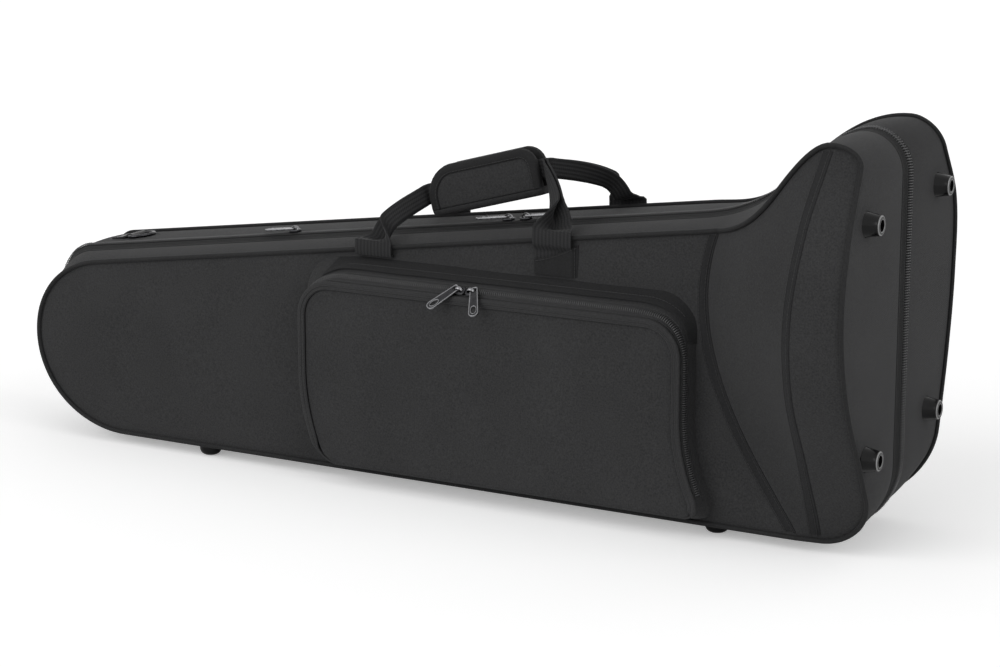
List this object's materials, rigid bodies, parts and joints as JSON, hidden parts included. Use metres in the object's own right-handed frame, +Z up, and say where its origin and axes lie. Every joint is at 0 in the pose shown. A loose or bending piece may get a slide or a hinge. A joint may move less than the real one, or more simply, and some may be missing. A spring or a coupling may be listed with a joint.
{
  "type": "trombone case",
  "caption": "Soft-covered trombone case with a flared bell end, zipped lid, front pocket, padded carrying grip, floor studs and end feet.",
  "frame": {"origin": "middle of the case's footprint, on the floor it stands on", "axes": "+X along the case towards the bell end, -Y to the front half with the pocket, +Z up"},
  "size_m": [0.9688, 0.2884, 0.3829],
  "materials": {
    "cover": "matt woven polyester",
    "dark_cloth": "matt binding and piping cloth",
    "zip_tape": "zip tape and coil",
    "webbing": "ribbed webbing",
    "plush": "short plush over foam",
    "gloss_plastic": "gloss",
    "gun_metal": "dark plated, satin",
    "leatherette": "smooth"
  },
  "bodies": {
    "base": {"rear_shell": "cover", "rear_insert_tip": "plush", "rear_insert_middle": "plush", "rear_insert_bell": "plush", "rear_piping": "dark_cloth", "rear_zip_tape": "zip_tape", "rear_hinge_cloth": "dark_cloth", "end_foot_rear_top": "gloss_plastic", "end_foot_rear_bottom": "gloss_plastic", "stud_rear_tip": "gloss_plastic", "stud_rear_bell": "gloss_plastic", "rear_strap": "webbing", "grip_back": "cover", "ring_tab": "leatherette", "bell_hold_strap": "webbing", "neck_hold_strap": "webbing"},
    "lid": {"front_shell": "cover", "front_insert_tip": "plush", "front_insert_middle": "plush", "front_insert_bell": "plush", "front_piping": "dark_cloth", "front_zip_tape": "zip_tape", "front_hinge_cloth": "dark_cloth", "ramp_seam_band": "dark_cloth", "bell_seam_band": "dark_cloth", "end_foot_front_top": "gloss_plastic", "end_foot_front_bottom": "gloss_plastic", "stud_front_tip": "gloss_plastic", "stud_front_bell": "gloss_plastic", "pocket_band": "cover", "pocket_rain_flap": "dark_cloth", "front_strap": "webbing"},
    "pocket_door": {"pocket_panel": "cover", "pocket_piping": "dark_cloth"},
    "grip_front": {"grip_flap": "cover"},
    "shoulder_ring": {"strap_ring": "gun_metal"},
    "outer_slider": {"main_outer_slider": "gun_metal"},
    "outer_pull": {"main_outer_pull": "gun_metal"},
    "left_slider": {"main_left_slider": "gun_metal"},
    "left_pull": {"main_left_pull": "gun_metal"},
    "right_slider": {"main_right_slider": "gun_metal"},
    "right_pull": {"main_right_pull": "gun_metal"},
    "pocket_slider_left": {"pocket_left_slider": "gun_metal"},
    "pocket_pull_left": {"pocket_left_pull": "gun_metal"},
    "pocket_slider_right": {"pocket_right_slider": "gun_metal"},
    "pocket_pull_right": {"pocket_right_pull": "gun_metal"}
  },
  "joints": [
    {"name": "lid_hinge", "type": "hinge", "parent": "base", "child": "lid", "pos_m": [-0.0069, 0.01879, 0.005], "axis": [1, 0, 0], "range_deg": [0, 160], "deforming": ["grip_flap"]},
    {"name": "pocket_door_hinge", "type": "hinge", "parent": "lid", "child": "pocket_door", "pos_m": [0.0861, -0.07096, 0.0218], "axis": [0.9999, -0.015, 0], "range_deg": [0, 90]},
    {"name": "grip_flap_hinge", "type": "hinge", "parent": "base", "child": "grip_front", "pos_m": [0.04759, 0.00679, 0.28276], "axis": [0.9659, 0, 0.2588], "range_deg": [0, 100]},
    {"name": "outer_slide", "type": "slide", "parent": "base", "child": "outer_slider", "axis": [0.9912, 0, 0.1321], "range_m": [-0.15, 0.1]},
    {"name": "outer_pull_hinge", "type": "hinge", "parent": "outer_slider", "child": "outer_pull", "pos_m": [-0.18007, 0.01879, 0.23367], "axis": [0, 1, 0], "range_deg": [0, 150]},
    {"name": "left_slide", "type": "slide", "parent": "base", "child": "left_slider", "axis": [0.9912, 0, 0.1321], "range_m": [-0.1, 0]},
    {"name": "left_pull_swivel", "type": "hinge", "parent": "left_slider", "child": "left_pull", "pos_m": [0.06181, 0.01879, 0.26591], "axis": [-0.1321, 0, 0.9912], "range_deg": [-35, 35]},
    {"name": "right_slide", "type": "slide", "parent": "base", "child": "right_slider", "axis": [0.9912, 0, 0.1321], "range_m": [0, 0.15]},
    {"name": "right_pull_swivel", "type": "hinge", "parent": "right_slider", "child": "right_pull", "pos_m": [0.08789, 0.01879, 0.26939], "axis": [-0.1321, 0, 0.9912], "range_deg": [-35, 35]},
    {"name": "pocket_left_slide", "type": "slide", "parent": "pocket_door", "child": "pocket_slider_left", "axis": [0.9999, -0.015, 0], "range_m": [-0.12, 0]},
    {"name": "pocket_left_pull_swivel", "type": "hinge", "parent": "pocket_slider_left", "child": "pocket_pull_left", "pos_m": [0.05653, -0.069, 0.21053], "axis": [0, -0.6432, 0.7657], "range_deg": [-50, 30]},
    {"name": "pocket_right_slide", "type": "slide", "parent": "pocket_door", "child": "pocket_slider_right", "axis": [0.9999, -0.015, 0], "range_m": [0, 0.15]},
    {"name": "pocket_right_pull_swivel", "type": "hinge", "parent": "pocket_slider_right", "child": "pocket_pull_right", "pos_m": [0.07667, -0.0692, 0.21053], "axis": [0, -0.6432, 0.7657], "range_deg": [-20, 65]},
    {"name": "ring_hinge", "type": "hinge", "parent": "base", "child": "shoulder_ring", "pos_m": [-0.4037, 0.05479, 0.20164], "axis": [0, -1, 0], "range_deg": [0, 120]}
  ]
}
